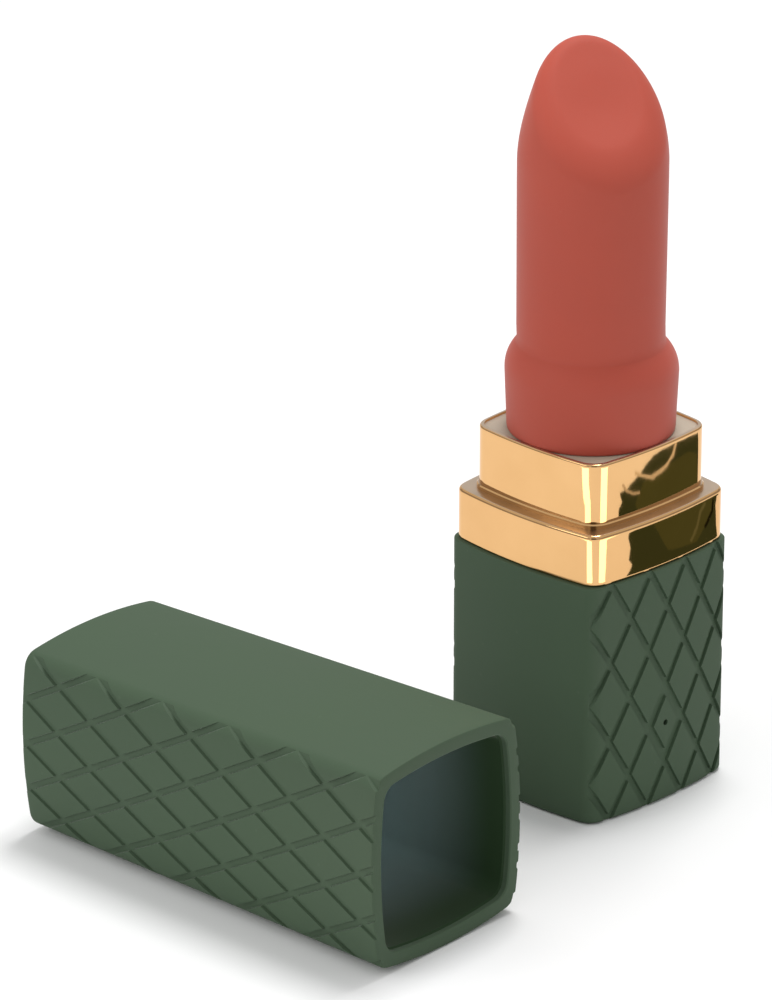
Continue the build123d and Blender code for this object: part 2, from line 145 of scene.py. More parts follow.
def finish_for(name, tone, other, roughness, grain=(4.0, 0.01, 0.02), patches=60.0, dust=0.0,
               dust_tone=(0.5, 0.5, 0.48), **constants):
    """A material: drifting colour, roughness and grain into a Principled shader. `grain` is how many
    to a millimetre, its depth and the broad unevenness; `constants` are the shader's own sockets."""
    material = bpy.data.materials.new(name)
    material.use_nodes = True
    nodes, join = material.node_tree.nodes, material.node_tree.links.new
    shader = nodes["Principled BSDF"]
    colour, normal = nodes.new("ShaderNodeGroup"), nodes.new("ShaderNodeGroup")
    colour.node_tree, normal.node_tree = TONE, GRAIN
    for socket, value in (("Tone", tone), ("Other tone", other), ("Dust", dust_tone)):
        colour.inputs[socket].default_value = (*value, 1.0)
    colour.inputs["Patches per m"].default_value = patches
    colour.inputs["Dust amount"].default_value = dust
    for socket, value in zip(("Grain per mm", "Depth mm", "Unevenness mm"), grain):
        normal.inputs[socket].default_value = value
    rough = nodes.new("ShaderNodeMapRange")
    rough.inputs["To Min"].default_value = roughness * (1 - ROUGHNESS_DRIFT)
    rough.inputs["To Max"].default_value = min(1.0, roughness * (1 + ROUGHNESS_DRIFT))
    join(colour.outputs["Patch"], rough.inputs["Value"])
    join(colour.outputs["Color"], shader.inputs["Base Color"])
    join(rough.outputs["Result"], shader.inputs["Roughness"])
    join(normal.outputs["Normal"], shader.inputs["Normal"])
    for socket, value in constants.items():
        shader.inputs[socket.replace("_", " ")].default_value = value
    return material


def wear(material, *nodes):
    """Gives the named nodes of the frame this material."""
    for node in nodes:
        for slot in frame["nodes"][node].material_slots:
            slot.material = material


moulded_black = finish_for("moulded_black", (0.022, 0.024, 0.025), (0.03, 0.031, 0.032), 0.5,
                           grain=(7.0, 0.012, 0.01))
wear(moulded_black, "base_plate", "chassis", "core_tube", "core_dome")

# ---- Screws -------------------------------------------------------------------------------------
# Two sets of four small steel screws, turned and left bright. One set holds the plate to the frame's
# bosses, the other holds the core's flange to the deck.
turned_steel = finish_for("turned_steel", (0.50, 0.51, 0.52), (0.58, 0.585, 0.59), 0.3,
                          grain=(2.0, 0.004, 0.006), Metallic=1.0)
wear(turned_steel, "plate_screws", "core_screws")

# ---- Cell and its saddles -----------------------------------------------------------------------
# A round rechargeable cell in blue shrink wrap stands on end in the frame. Two saddles of closed
# foam, cut to its curve, hold it off the frame's wall.
shrink_wrap = finish_for("shrink_wrap", (0.03, 0.13, 0.36), (0.035, 0.15, 0.42), 0.32,
                         grain=(0.6, 0.02, 0.05), Coat_Weight=0.4)
closed_foam = finish_for("closed_foam", (0.02, 0.02, 0.02), (0.035, 0.035, 0.035), 0.95,
                         grain=(3.0, 0.08, 0.05))
wear(shrink_wrap, "battery_cell")
wear(closed_foam, "battery_saddles")

# ---- Boards -------------------------------------------------------------------------------------
# The main board stands beside the cell, slotted between ribs. Its control chip is on the cell's side,
# its charge regulator and two capacitors on the other. A square board over the button has the switch.
solder_mask = finish_for("solder_mask", (0.010, 0.12, 0.045), (0.014, 0.15, 0.055), 0.35,
                         Coat_Weight=0.3)
moulded_chip = finish_for("moulded_chip", (0.018, 0.018, 0.02), (0.025, 0.025, 0.027), 0.55)
fired_ceramic = finish_for("fired_ceramic", (0.40, 0.26, 0.13), (0.48, 0.33, 0.18), 0.6)
wear(solder_mask, "circuit_board", "button_board")
wear(moulded_chip, "control_chip", "charge_regulator")
wear(fired_ceramic, "board_capacitors")

# ---- Charging socket ----------------------------------------------------------------------------
# A black moulded socket soldered to the main board. Its round nose passes through the frame behind
# the pinhole, and a gilt contact closes the end of its bore.
gold_flash = finish_for("gold_flash", (0.85, 0.62, 0.27), (0.88, 0.66, 0.3), 0.25, Metallic=1.0)
wear(moulded_chip, "charge_socket")
wear(gold_flash, "socket_contact")

# ---- Button and its switch ----------------------------------------------------------------------
# A green soft-touch button is held behind the plate's ring by its flange. It pushes the nylon
# plunger of a small black switch on the square board.
button_green = finish_for("button_green", (0.040, 0.072, 0.046), (0.046, 0.080, 0.053), 0.62,
                          Specular_IOR_Level=0.35)
white_nylon = finish_for("white_nylon", (0.72, 0.71, 0.67), (0.78, 0.77, 0.74), 0.45)
wear(button_green, "power_button")
wear(white_nylon, "switch_plunger")
wear(moulded_chip, "switch_body")

# ---- Vibration motor ----------------------------------------------------------------------------
# A steel can in a rubber boot inside the core, closed from below by a nylon cap. A half-round
# steel weight is pressed on the end of its shaft.
black_rubber = finish_for("black_rubber", (0.02, 0.02, 0.02), (0.028, 0.028, 0.028), 0.75)
wear(turned_steel, "motor_can", "motor_shaft", "eccentric_weight")
wear(black_rubber, "motor_boot")
wear(white_nylon, "motor_end_cap")

# ---- Leads --------------------------------------------------------------------------------------
# Thin stranded wires in red and black insulation, soldered to the main board. One pair rises through
# the core to the motor, and the other goes to the top of the cell.
red_insulation = finish_for("red_insulation", (0.50, 0.02, 0.015), (0.56, 0.03, 0.02), 0.35)
black_insulation = finish_for("black_insulation", (0.014, 0.014, 0.014), (0.02, 0.02, 0.02), 0.35)
wear(red_insulation, "motor_lead_red", "battery_lead_red")
wear(black_insulation, "motor_lead_black", "battery_lead_black")

# ---- Green skin of the base ---------------------------------------------------------------------
# One soft-touch moulding, square with bulging sides, pulled over the chassis from below. Channels
# between raised diamonds run across its two side faces, and a charging hole pierces one diamond.
BASE_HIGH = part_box("base_sleeve")[1]
HALF = BASE_HIGH.y
FACE_RADIUS = 5.0 * HALF
EDGE_RADIUS = HALF / 6
SKIN_WALL = 0.0012
QUARTER_TURNS = np.arange(4) * math.pi / 2


def bulged_ring(half, corner=EDGE_RADIUS, along_side=24, along_corner=14):
    """Once round a bulging square: each side an arc about a point behind the opposite side, each
    corner a small arc that touches both sides. Points are (number round, 2)."""
    bulge = FACE_RADIUS - (HALF - half)
    back = bulge - half
    centre = (math.sqrt(2 * (bulge - corner) ** 2 - back**2) - back) / 2
    turn = math.atan2(centre, centre + back)
    side = np.linspace(-turn, turn, along_side, endpoint=False)
    bend = np.linspace(turn, math.pi / 2 - turn, along_corner, endpoint=False)
    x = np.concatenate([bulge * np.cos(side) - back, centre + corner * np.cos(bend)])
    y = np.concatenate([bulge * np.sin(side), centre + corner * np.sin(bend)])
    cosine, sine = np.cos(QUARTER_TURNS)[:, None], np.sin(QUARTER_TURNS)[:, None]
    return np.stack([cosine * x - sine * y, sine * x + cosine * y], -1).reshape(-1, 2)


def round_ring(radius):
    """A circle whose points lie in the same directions as the bulging square's."""
    square = bulged_ring(HALF)
    return radius * square / np.linalg.norm(square, axis=1, keepdims=True)


def stacked(levels):
    """A grid of rings from (ring, height) pairs: each ring lifted to its height."""
    return np.array([np.column_stack([ring, np.full(len(ring), z)]) for ring, z in levels])


def rounded_lip(outer, level, radius, out, steps=5):
    """Half sizes and heights round a lip's outer edge: a quarter circle of that radius, from a wall
    at `outer` to a flat at `level`. `out` is +1 where the flat is above the wall, -1 below it."""
    angle = np.linspace(0, math.pi / 2, steps)
    return [(outer - radius * (1 - math.cos(a)), level - out * radius * (1 - math.sin(a)))
            for a in angle]


def skin_of(name, grid, looped=True, crease=30.0):
    """A mesh object from a grid of rings: quads between neighbouring points, closed round each ring
    and, if looped, from the last ring to the first; a ring drawn in to a point becomes a pole."""
    rings, count = grid.shape[:2]
    ring = np.arange(rings if looped else rings - 1)[:, None]
    point = np.arange(count)[None, :]
    after, beside = (ring + 1) % rings, (point + 1) % count
    faces = np.stack([ring * count + point, ring * count + beside,
                      after * count + beside, after * count + point], -1).reshape(-1, 4)
    mesh = bpy.data.meshes.new(name)
    mesh.from_pydata(grid.reshape(-1, 3), [], faces.tolist())
    work = bmesh.new()
    work.from_mesh(mesh)
    bmesh.ops.remove_doubles(work, verts=work.verts, dist=1e-7)
    bmesh.ops.recalc_face_normals(work, faces=work.faces)
    work.to_mesh(mesh)
    work.free()
    piece = bpy.data.objects.new(name, mesh)
    bpy.context.scene.collection.objects.link(piece)
    mesh.shade_smooth()
    mesh.set_sharp_from_angle(angle=math.radians(crease))
    return piece


CHANNEL_DEPTH = 0.00038
CHANNEL_FLOOR = 0.00040     # half the floor's width
CHANNEL_TOP = 0.00047       # half the width between the diamonds' top edges
CHANNEL_DROP = 0.00022      # more depth where the corner bends, so that the channels notch it
DROP_POWER = 8              # how suddenly that depth comes
CORNER_START = 0.0019       # from the side of the square in to where its corner bends
ACROSS = 0.006350           # one diamond, across a face
SIDE_FACING = 0.2           # a face of the mesh looks at least this much sideways to be carved,
SIDE_REACH = 2.2            # and lies this many edge radii or less in from the side
DIAMOND_MARGIN = 1.02       # reach of the cuts for a shrunk diamond, against the diamond's own


def channel_gap(across, along, rise, first, shrunk=None):
    """Distance from each point to the nearest channel's middle line. Channels lean both ways and
    cross on the face's middle line at `first` and every `rise` along it. Inside the diamond about
    the point `shrunk`, the distance is counted from a line moved in by the given inset."""
    lean = rise / ACROSS
    level = math.sqrt(1 + lean**2)
    gaps = []
    for way in (1, -1):
        raw = along - way * across * lean - first
        gaps.append(np.abs(raw - rise * np.round(raw / rise)) / level)
    gap = np.minimum(*gaps)
    if shrunk:
        middle, inset = shrunk
        reach = (np.abs(along - middle) + np.abs(across) * lean) / (rise / 2)
        gap = np.where(reach < 1, np.maximum(gap - inset, 0), gap)
    return gap


def carve_diamonds(piece, half, length, rise, first, shrunk=None):
    """Cuts the side faces' mesh along both edges of every channel, then sinks what lies between the
    edges to the floor: an arc parallel to the face, less a drop that grows as a high power of the
    distance from the face's middle, so that a channel notches the corner and runs out round it."""
    mesh = piece.data
    work = bmesh.new()
    work.from_mesh(mesh)
    lean = rise / ACROSS
    level = math.sqrt(1 + lean**2)
    on_side = work.faces.layers.int.new("on_side")
    for face in work.faces:
        centre = face.calc_center_median()
        face[on_side] = int(face.normal.x * math.copysign(1, centre.x) > SIDE_FACING
                            and abs(centre.x) > half - SIDE_REACH * EDGE_RADIUS)

    def cut(height, way, edge, near=lambda centre: True):
        """One cut, along the line that leans `way` through the middle line's point at `height`,
        moved up by `edge`, through the side faces whose centres pass `near`."""
        normal = Vector((0, -way * lean / level, 1 / level))
        faces = [f for f in work.faces if f[on_side] and near(f.calc_center_median())]
        edges = {e for f in faces for e in f.edges}
        verts = {v for f in faces for v in f.verts}
        bmesh.ops.bisect_plane(work, geom=[*verts, *edges, *faces], dist=1e-8,
                               plane_co=Vector((0, 0, height)) + normal * edge, plane_no=normal)

    reach = half * lean
    lowest, highest = math.floor((-reach - first) / rise), math.ceil((length + reach - first) / rise)
    for crossing in range(lowest, highest + 1):
        for way in (1, -1):
            for edge in (-CHANNEL_TOP, -CHANNEL_FLOOR, CHANNEL_FLOOR, CHANNEL_TOP):
                cut(first + crossing * rise, way, edge)
    if shrunk:
        middle, inset = shrunk

        def in_diamond(centre):
            """Whether a point lies in the diamond that is to be shrunk, on the +X side."""
            away = abs(centre.z - middle) + abs(centre.y) * lean
            return centre.x > 0 and away < rise / 2 * DIAMOND_MARGIN

        for up in (1, -1):
            for way in (1, -1):
                for edge in (CHANNEL_FLOOR, CHANNEL_TOP):
                    cut(middle + up * rise / 2, way, -up * (inset + edge), in_diamond)
    work.verts.index_update()
    touched = np.array(sorted({v.index for f in work.faces if f[on_side] for v in f.verts}))
    work.to_mesh(mesh)
    work.free()
    spots = np.empty(len(mesh.vertices) * 3)
    mesh.vertices.foreach_get("co", spots)
    spots = spots.reshape(-1, 3)
    x, y, z = spots[touched].T
    gap = channel_gap(y, z, rise, first)
    if shrunk:
        gap = np.where(x > 0, channel_gap(y, z, rise, first, shrunk), gap)
    sunk = CHANNEL_DEPTH * np.clip((CHANNEL_TOP - gap) / (CHANNEL_TOP - CHANNEL_FLOOR), 0, 1)
    bulge = FACE_RADIUS - (HALF - half)
    drop = CHANNEL_DROP * (sunk / CHANNEL_DEPTH) * (np.abs(y) / (half - CORNER_START)) ** DROP_POWER
    floor = np.sqrt((bulge - sunk) ** 2 - y**2) - (bulge - half) - drop
    spots[touched, 0] = np.where(sunk > 1e-6, np.sign(x) * np.minimum(np.abs(x), floor), x)
    mesh.vertices.foreach_set("co", spots.ravel())
    mesh.update()
    mesh.shade_smooth()
    mesh.set_sharp_from_angle(angle=math.radians(24))


skin_top = BASE_HIGH.z
TOP_EASE, UNDER_EASE = 0.0002, 0.0005       # radii of the outer edges at the top and underneath
EASE_ROOM = 0.0006                          # height kept for each of them
opening = round_ring(0.0054)                # for the plate's ring and the button
levels = rounded_lip(HALF, skin_top, TOP_EASE, 1, 4)[::-1]
levels += [(HALF, z) for z in np.linspace(skin_top - EASE_ROOM, EASE_ROOM, 34)]
levels += rounded_lip(HALF, 0.0, UNDER_EASE, -1)
outside = [(bulged_ring(h), z) for h, z in levels]
under = [(bulged_ring(HALF - UNDER_EASE) * (1 - t) + opening * t, 0.0)
         for t in np.linspace(0, 1, 9)[1:]]
inner_ring = bulged_ring(HALF - SKIN_WALL)
inside = [(opening, SKIN_WALL)]
inside += [(opening * (1 - t) + inner_ring * t, SKIN_WALL) for t in (0.5, 1.0)]
inside += [(inner_ring, z) for z in (0.012, skin_top)]
base_skin = skin_of("base_skin", stacked(outside + under + inside))
BASE_RISE = skin_top / 3                    # one diamond, up the base
PINHOLE_INSET = 0.00045                     # how much smaller the pinhole's own diamond is, a side
carve_diamonds(base_skin, HALF, skin_top, BASE_RISE, BASE_RISE / 2, (BASE_RISE, PINHOLE_INSET))


def pierce(piece, place, way, radius, depth):
    """Cuts a round hole: takes a cylinder out of the mesh, centred at `place` and lying along `way`."""
    drill = bpy.data.meshes.new("drill")
    work = bmesh.new()
    turned = Vector(way).to_track_quat("Z", "Y").to_matrix().to_4x4()
    bmesh.ops.create_cone(work, cap_ends=True, segments=24, radius1=radius, radius2=radius,
                          depth=depth, matrix=Matrix.Translation(place) @ turned)
    work.to_mesh(drill)
    work.free()
    bit = bpy.data.objects.new("drill", drill)
    bpy.context.scene.collection.objects.link(bit)
    cut = piece.modifiers.new("hole", "BOOLEAN")
    cut.operation, cut.solver, cut.object = "DIFFERENCE", "EXACT", bit
    state = bpy.context.evaluated_depsgraph_get()
    pierced = bpy.data.meshes.new_from_object(piece.evaluated_get(state))
    piece.modifiers.clear()
    piece.data = pierced
    bpy.data.objects.remove(bit)
    pierced.shade_smooth()
    pierced.set_sharp_from_angle(angle=math.radians(24))


PINHOLE_RADIUS, PINHOLE_REACH = 0.0004, 0.002
pierce(base_skin, (HALF - SKIN_WALL / 2, 0, BASE_RISE), (1, 0, 0), PINHOLE_RADIUS, PINHOLE_REACH)
soft_touch = finish_for("soft_touch_green", (0.048, 0.084, 0.045), (0.053, 0.091, 0.049), 0.72,
                        grain=(5.0, 0.006, 0.03), dust=0.10, dust_tone=(0.13, 0.18, 0.12),
                        Specular_IOR_Level=0.4)
base_skin.data.materials.append(soft_touch)
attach(base_skin, "base")
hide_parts("base_sleeve")

# ---- Stepped collar -----------------------------------------------------------------------------
# Two stacked square bands, formed and mirror-plated in gold; the upper one has a narrow foot that
# stands on the ledge of the lower. The closed cap's mouth rests on that ledge.
LOW_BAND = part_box("lower_collar")
HIGH_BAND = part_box("upper_collar")
band_half = LOW_BAND[1].y
foot_half = HIGH_BAND[1].y
neck = foot_half - 0.0008           # bore of both bands, where the frame's neck passes
step_half = foot_half - 0.0003
FOOT_HIGH, FOOT_BEVEL = 0.0006, 0.00015
LEDGE_THICK, LEDGE_ROUND, RIM_ROUND = 0.0008, 0.0005, 0.0003
UPPER_CORNER = 0.0027               # the upper band's corners bend more widely than the lower's
low, ledge, rim = LOW_BAND[0].z, LOW_BAND[1].z, HIGH_BAND[1].z


def band(name, outline, corner):
    """A closed band: a profile of (half size, height) pairs carried once round the square, whose
    corner radius is the given function of the half size."""
    return skin_of(name, stacked([(bulged_ring(h, corner(h), 40, 20), z) for h, z in outline]),
                   crease=40.0)


low_outline = rounded_lip(band_half, low, RIM_ROUND, -1, 6)[::-1]
low_outline += [(band_half, z) for z in np.linspace(low + 0.0006, ledge - 0.0007, 4)]
low_outline += rounded_lip(band_half, ledge, LEDGE_ROUND, 1, 8)
low_outline += [(foot_half + 0.0002, ledge), (neck, ledge), (neck, ledge - LEDGE_THICK),
                (HALF - SKIN_WALL, ledge - LEDGE_THICK), (HALF - SKIN_WALL, low)]
lower_band = band("lower_band", low_outline, lambda h: EDGE_RADIUS - (band_half - h) * 0.35)
high_outline = [(foot_half, ledge), (foot_half, ledge + FOOT_HIGH - FOOT_BEVEL)]
high_outline += [(foot_half - FOOT_BEVEL, ledge + FOOT_HIGH), (step_half, ledge + FOOT_HIGH)]
high_outline += [(step_half, z) for z in np.linspace(ledge + 0.0009, rim - 0.0005, 4)]
high_outline += rounded_lip(step_half, rim, RIM_ROUND, 1, 7)
high_outline += [(neck, rim), (neck, ledge)]
upper_band = band("upper_band", high_outline, lambda h: UPPER_CORNER - (step_half - h) * 0.5)
plated_gold = finish_for("plated_gold", (0.75, 0.44, 0.19), (0.80, 0.48, 0.215), 0.032,
                         grain=(0.9, 0.0006, 0.012), patches=120.0, Metallic=1.0)
rubbed_gold = finish_for("rubbed_gold", (0.56, 0.44, 0.33), (0.66, 0.50, 0.36), 0.3,
                         grain=(3.0, 0.003, 0.02), patches=300.0, Metallic=1.0)
UPWARD = 0.9                        # faces that look up this much have lost their mirror polish
for ring, node in ((lower_band, "lower_collar"), (upper_band, "upper_collar")):
    ring.data.materials.append(plated_gold)
    ring.data.materials.append(rubbed_gold)
    facing = np.empty(len(ring.data.polygons) * 3)
    ring.data.polygons.foreach_get("normal", facing)
    ring.data.polygons.foreach_set("material_index", (facing[2::3] > UPWARD).astype(int))
    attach(ring, "base")
    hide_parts(node)

# ---- Seat of the tip ----------------------------------------------------------------------------
# A pale grey plastic plate fills the top of the collar just below its rim. The soft tip's foot
# stands on it, so only its corners show.
seat_grey = finish_for("seat_grey", (0.45, 0.395, 0.30), (0.52, 0.455, 0.35), 0.5,
                       grain=(3.0, 0.01, 0.02))
wear(seat_grey, "tip_seat")

# ---- Soft tip -----------------------------------------------------------------------------------
# Moulded matte silicone stretched over a rigid core: a foot, a rounded shoulder, a plain round body
# and a pointed end cut off on a slant, with a soft ridge round the slanted face.
tip_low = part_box("tip_sleeve")[0].z
FOOT, FOOT_TOP, WAIST, BODY = 0.01055, 0.01085, 0.00923, 0.00933    # radii, going up
SHOULDER_AT, WAIST_AT, NECK_AT, HEAD_AT = 0.0546, 0.0584, 0.0790, 0.08174
HEM_ROUND = 0.0004
SHOULDER_POWER, SHOULDER_EASE = 2.2, 0.12
HEAD_LEAN, HEAD_BEND = 0.413, 0.0032
FACET_LOW, FACET_SLOPE, FACET_TURN = 0.08336, math.radians(44.0), math.radians(-27)
RIDGE = 0.0022                              # radius of the ridge round the slanted face
DISH_DEPTH, DISH_UP, DISH_RADIUS = 0.00025, 0.0085, 0.0065
SWAY, SWAY_RISE = -0.00014, 0.006           # how far the tip stands off upright, and how soon


def tip_profile():
    """Heights and radii up the outside: a quarter round at the hem, the foot, a shoulder that falls
    in by a power of the height, then the body."""
    edge = np.linspace(0, math.pi / 2, 5)[:-1]
    hem = np.column_stack([tip_low + HEM_ROUND * (1 - np.cos(edge)),
                           FOOT - HEM_ROUND * (1 - np.sin(edge))])
    foot = np.column_stack([np.linspace(tip_low + HEM_ROUND, SHOULDER_AT, 12),
                            np.linspace(FOOT, FOOT_TOP, 12)])
    turn = np.linspace(0, 1, 16)[1:]
    fall = turn**SHOULDER_POWER * (1.0 - SHOULDER_EASE * (1 - turn))
    bend = np.column_stack([SHOULDER_AT + (WAIST_AT - SHOULDER_AT) * turn,
                            FOOT_TOP - (FOOT_TOP - WAIST) * fall])
    body = np.column_stack([np.linspace(WAIST_AT, NECK_AT, 20)[1:],
                            np.linspace(WAIST, BODY, 20)[1:]])
    return np.vstack([hem, foot, bend, body])


def head_distance(x, y, z):
    """Signed distance to the head: a cone whose side starts upright and bends over to its lean, cut
    by a slanted plane turned round towards the front and dished as a cosine about its middle, the
    two joined by a round ridge as the rounded larger of the distances."""
    rise = np.maximum(z - HEAD_AT, 0)
    bend = np.hypot(HEAD_BEND, HEAD_LEAN * rise)
    lean = HEAD_LEAN**2 * rise / bend
    body = (np.hypot(x, y) - BODY - HEAD_BEND + bend) / np.hypot(1, lean)
    ahead = x * math.cos(FACET_TURN) + y * math.sin(FACET_TURN)
    aside = y * math.cos(FACET_TURN) - x * math.sin(FACET_TURN)
    plane = (ahead - BODY) * math.sin(FACET_SLOPE) + (z - FACET_LOW) * math.cos(FACET_SLOPE)
    up = (z - FACET_LOW) * math.sin(FACET_SLOPE) - (ahead - BODY) * math.cos(FACET_SLOPE)
    reach = np.minimum(np.hypot(up - DISH_UP, aside) / DISH_RADIUS, 1)
    plane += DISH_DEPTH * (1 + np.cos(math.pi * reach)) / 2
    a, b = body + RIDGE, plane + RIDGE
    return np.minimum(np.maximum(a, b), 0) + np.hypot(np.maximum(a, 0), np.maximum(b, 0)) - RIDGE


HEAD_SEARCH, HALVINGS = 0.03, 40            # longest ray tried, and how often it is halved


def head_rings(around, up):
    """The head as rays from a point on the axis: each goes out, by halving, to where the distance is
    nil. Their elevations run from just above level to straight up."""
    azimuth = np.linspace(0, 2 * math.pi, around, endpoint=False)
    climb = np.linspace(0, 1, up + 1)[1:] * math.pi / 2
    spin, climb = np.meshgrid(azimuth, climb)
    way = np.stack([np.cos(climb) * np.cos(spin), np.cos(climb) * np.sin(spin), np.sin(climb)], -1)
    near, far = np.zeros(spin.shape), np.full(spin.shape, HEAD_SEARCH)
    for _ in range(HALVINGS):
        half = (near + far) / 2
        spot = way * half[..., None]
        inside = head_distance(spot[..., 0], spot[..., 1], spot[..., 2] + NECK_AT) < 0
        near, far = np.where(inside, half, near), np.where(inside, far, half)
    grid = way * near[..., None]
    grid[..., 2] += NECK_AT
    return grid


AROUND, HEAD_RINGS = 160, 90
spin = np.linspace(0, 2 * math.pi, AROUND, endpoint=False)
circle = np.column_stack([np.cos(spin), np.sin(spin)])
outer = stacked([(circle * r, z) for z, r in tip_profile()])
CORE, BARB, BARB_LOW, BARB_HIGH = 0.0068, 0.0076, 0.0506, 0.0522
cavity = [(0.0, 0.0854), (0.0035, 0.0845), (CORE, 0.0820), (CORE, BARB_HIGH), (BARB, BARB_HIGH),
          (BARB, BARB_LOW), (CORE, BARB_LOW), (CORE, tip_low)]
core_hole = stacked([(circle * r, z) for r, z in cavity])
tip_grid = np.concatenate([core_hole, outer, head_rings(AROUND, HEAD_RINGS)])
tip_grid[..., :2] += SWAY * np.clip((tip_grid[..., 2:] - SHOULDER_AT) / SWAY_RISE, 0, 1)
soft_tip = skin_of("soft_tip", tip_grid, looped=False, crease=45.0)
matte_silicone = finish_for("matte_silicone", (0.42, 0.066, 0.040), (0.46, 0.074, 0.044), 0.66,
                            grain=(6.0, 0.004, 0.05), patches=40.0, dust=0.05,
                            dust_tone=(0.5, 0.2, 0.16), Specular_IOR_Level=0.35,
                            Subsurface_Weight=0.12, Subsurface_Scale=0.002,
                            Sheen_Weight=0.12, Sheen_Roughness=0.4)
soft_tip.data.materials.append(matte_silicone)
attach(soft_tip, "base")
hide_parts("tip_sleeve")

# ---- Cap ----------------------------------------------------------------------------------------
# A square tube closed at one end, moulded and coated like the base, with the same diamonds on two
# opposite faces. A thin liner is pressed in behind its turned-in lip and grips the collar.
CAP_LENGTH, MOUTH_HALF, END_HALF = 0.0594, 0.0134, 0.0126
NARROWING = (MOUTH_HALF - END_HALF) / CAP_LENGTH
DIP = math.atan(NARROWING)                  # its axis dips to let the lower face lie flat
MOUTH_SPOT = (0.0225, -0.0482)              # middle of the mouth, in plan
slide = next(j for j in frame["joints"] if j["name"] == "cap_slide")
heading = Vector(slide["axis"]).normalized()
along = heading * math.cos(DIP) - Vector((0, 0, math.sin(DIP)))
across = Vector((-heading.y, heading.x, 0))
MOUTH = Vector((*MOUTH_SPOT, MOUTH_HALF * math.cos(DIP)))
LAID = Matrix.Translation(MOUTH) @ Matrix((across, along.cross(across), along)).transposed().to_4x4()


def narrow_and_lay(piece):
    """Draws each ring in towards the closed end, in proportion to its distance from the mouth, and
    carries the standing piece to where the cap lies on its lower face."""
    mesh = piece.data
    spots = np.empty(len(mesh.vertices) * 3)
    mesh.vertices.foreach_get("co", spots)
    spots = spots.reshape(-1, 3)
    spots[:, :2] *= 1 - NARROWING / MOUTH_HALF * spots[:, 2:]
    mesh.vertices.foreach_set("co", spots.ravel())
    mesh.transform(LAID)


SHELL_WALL, LINER_WALL, END_WALL, LIP = 0.00125, 0.0008, 0.0007, 0.0008
END_ROUND, MOUTH_ROUND, LIP_BEVEL = 0.0008, 0.00025, 0.00015
MOUTH_ROUND_MIDDLE = 0.00007                # in and up from the mouth's corner to its rounding
lined_ring = bulged_ring(MOUTH_HALF - SHELL_WALL)
liner_half = MOUTH_HALF - SHELL_WALL - LINER_WALL
mouth_half = liner_half + 0.0002
inner_end = CAP_LENGTH - END_WALL
side_heights = [MOUTH_ROUND, *np.linspace(0.001, CAP_LENGTH - END_ROUND, 60)]
cap_outside = [(MOUTH_HALF, z) for z in side_heights]
cap_outside += rounded_lip(MOUTH_HALF, CAP_LENGTH, END_ROUND, 1, 7)
end_ring = bulged_ring(MOUTH_HALF - END_ROUND)
cap_levels = [(bulged_ring(h), z) for h, z in cap_outside]
cap_levels += [(end_ring * t, CAP_LENGTH) for t in (0.8, 0.5, 0.2, 0.0)]
cap_inside = [(lined_ring * 0.0, inner_end), (lined_ring, inner_end), (lined_ring, LIP)]
cap_inside += [(bulged_ring(mouth_half), z) for z in (LIP, LIP_BEVEL)]
cap_inside += [(bulged_ring(h), 0.0) for h in
               (mouth_half + LIP_BEVEL, MOUTH_HALF - 0.0012, MOUTH_HALF - MOUTH_ROUND)]
cap_inside += [(bulged_ring(MOUTH_HALF - MOUTH_ROUND_MIDDLE), MOUTH_ROUND_MIDDLE)]
cap_skin = skin_of("cap_skin", stacked(cap_levels[::-1] + cap_inside[::-1]), looped=False)
CAP_RISE, CAP_FIRST = 0.01123, 0.0022       # one diamond along the cap, and the first crossing
carve_diamonds(cap_skin, MOUTH_HALF, CAP_LENGTH, CAP_RISE, CAP_FIRST)
narrow_and_lay(cap_skin)
cap_skin.data.materials.append(soft_touch)
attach(cap_skin, "cap")
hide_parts("cap_shell")

LINER_BEVEL, LINER_ROUND, LINER_END = 0.0002, 0.0008, 0.0004
liner_end = inner_end - LINER_END
liner_levels = [(lined_ring * t, inner_end) for t in (0.0, 1.0)]
liner_levels += [(lined_ring, LIP), (bulged_ring(liner_half + LINER_BEVEL), LIP),
                 (bulged_ring(liner_half), LIP + LINER_BEVEL)]
liner_levels += [(bulged_ring(liner_half), z) for z in np.linspace(0.004, liner_end - 0.001, 12)]
liner_levels += [(bulged_ring(h), z) for h, z in
                 rounded_lip(liner_half, liner_end, LINER_ROUND, 1, 5)]
liner_levels += [(bulged_ring(liner_half - LINER_ROUND) * t, liner_end) for t in (0.6, 0.0)]
cap_lining = skin_of("cap_lining", stacked(liner_levels), looped=False)
narrow_and_lay(cap_lining)
# The liner's own pale blue-grey, made paler still as painted light: it lightens the deep inside of the
# cap, where the lamps bring little light.
smooth_liner = finish_for("smooth_liner", (0.40, 0.54, 0.55), (0.46, 0.60, 0.60), 0.6,
                          grain=(1.5, 0.004, 0.03), Specular_IOR_Level=0.15)


def tone_towards_mouth(material, tone, sprayed, gone_at):
    """Mixes a dark tone into the colour towards the mouth, whole at the first X given and fading
    smoothly to the material's own colour at the second; the paler depth left on the liner is painted
    light."""
    nodes, join = material.node_tree.nodes, material.node_tree.links.new
    place, split = nodes.new("ShaderNodeTexCoord"), nodes.new("ShaderNodeSeparateXYZ")
    depth, mouth_mix = nodes.new("ShaderNodeMapRange"), nodes.new("ShaderNodeMix")
    depth.interpolation_type = "SMOOTHSTEP"
    depth.inputs["From Min"].default_value = sprayed
    depth.inputs["From Max"].default_value = gone_at
    mouth_mix.data_type = "RGBA"
    mouth_mix.inputs["A"].default_value = (*tone, 1)
    shader = nodes["Principled BSDF"]
    join(place.outputs["Object"], split.inputs["Vector"])
    join(split.outputs["X"], depth.inputs["Value"])
    join(depth.outputs["Result"], mouth_mix.inputs["Factor"])
    join(shader.inputs["Base Color"].links[0].from_socket, mouth_mix.inputs["B"])
    join(mouth_mix.outputs["Result"], shader.inputs["Base Color"])
